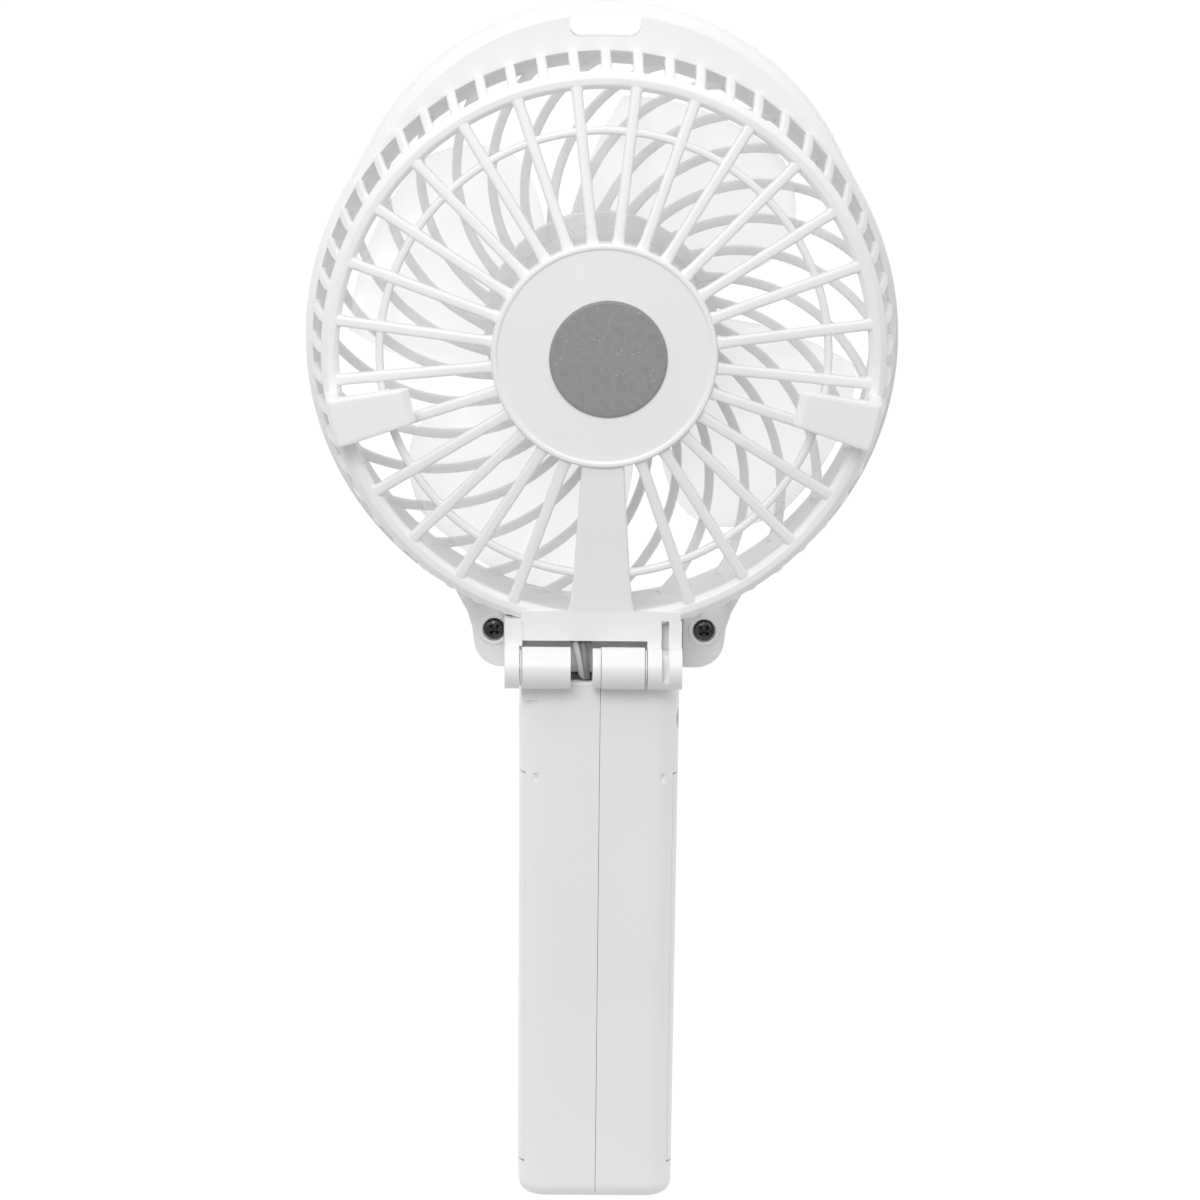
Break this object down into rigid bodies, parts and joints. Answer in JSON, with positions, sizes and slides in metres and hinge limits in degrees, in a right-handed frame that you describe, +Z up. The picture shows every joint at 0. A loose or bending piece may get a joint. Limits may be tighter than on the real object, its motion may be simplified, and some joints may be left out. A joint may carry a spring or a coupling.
{
  "type": "handheld electric fan",
  "caption": "Folding handheld fan: a round caged head with a translucent impeller, hinged on a rounded battery handle.",
  "frame": {"origin": "centre of the flat base of the handle", "axes": "+Z up the handle to the head, -Y the way the air leaves, +Y the rear grille and the side it folds to, +X to the right when facing the front"},
  "size_m": [0.1052, 0.0404, 0.2122],
  "materials": {
    "shell_white": "satin white ABS with a fine moulded sheen",
    "handle_white": "smooth white ABS, polished",
    "blade_clear": "milky translucent polypropylene",
    "badge_grey": "grey speckled label, matt",
    "badge_silver": "spun aluminium disc",
    "can_steel": "zinc plated steel",
    "cap_plastic": "nylon",
    "shaft_steel": "ground steel",
    "bronze": "oil-filled sintered bronze",
    "magnet": "ferrite",
    "laminations": "stacked electrical steel",
    "copper": "enamelled copper wire",
    "contact_metal": "nickel plated spring steel",
    "carbon": "brush arms with carbon tips",
    "screw_black": "black oxide steel",
    "washer_nylon": "natural nylon",
    "lead_grey": "grey PVC wire sleeve",
    "cell_steel": "nickel plated steel",
    "cell_blue": "blue shrink sleeve",
    "insulator": "fibre ring",
    "board_green": "solder mask on glass epoxy",
    "chip_black": "moulded epoxy",
    "capacitor_tan": "ceramic",
    "button_grey": "satin plated plastic",
    "led_yellow": "LED package",
    "lens_clear": "clear light guide"
  },
  "bodies": {
    "handle": {"handle_shell_left": "handle_white", "handle_shell_right": "handle_white", "cell_can": "cell_steel", "cell_sleeve": "cell_blue", "cell_insulator": "insulator", "contact_spring": "contact_metal", "contact_plate_negative": "contact_metal", "contact_plate_positive": "contact_metal", "battery_lead": "carbon", "circuit_board": "board_green", "controller_chip": "chip_black", "boost_coil": "magnet", "board_capacitors": "capacitor_tan", "usb_port": "contact_metal", "usb_tongue": "chip_black", "switch_body": "chip_black", "indicator_leds": "led_yellow", "indicator_lens": "lens_clear", "handle_screws": "screw_black", "hinge_pins": "shaft_steel", "motor_leads_handle": "lead_grey"},
    "head": {"rear_shell": "shell_white", "front_housing": "shell_white", "rear_badge": "badge_grey", "front_badge": "badge_silver", "motor_can": "can_steel", "motor_end_cap": "cap_plastic", "motor_bushes": "bronze", "motor_magnets": "magnet", "motor_brushes": "carbon", "motor_terminals": "contact_metal", "head_screws": "screw_black", "hinge_washers": "washer_nylon", "motor_leads_head": "lead_grey"},
    "rotor": {"impeller": "blade_clear", "motor_shaft": "shaft_steel", "armature_core": "laminations", "armature_windings": "copper", "commutator": "copper"},
    "button": {"power_button": "button_grey", "switch_plunger": "cap_plastic"},
    "cover": {"battery_cover": "handle_white"}
  },
  "joints": [
    {"name": "head_fold", "type": "hinge", "parent": "handle", "child": "head", "pos_m": [0, 0.015, 0.0965], "axis": [-1, 0, 0], "range_deg": [0, 180]},
    {"name": "impeller_spin", "type": "hinge", "parent": "head", "child": "rotor", "pos_m": [0, 0, 0.1524], "axis": [0, -1, 0], "continuous": true},
    {"name": "button_press", "type": "slide", "parent": "handle", "child": "button", "axis": [0, 1, 0], "range_m": [0, 0.0005], "stiffness_N_per_m": 2000},
    {"name": "cover_release", "type": "slide", "parent": "handle", "child": "cover", "axis": [0, -1, 0], "range_m": [0, 0.02]}
  ]
}
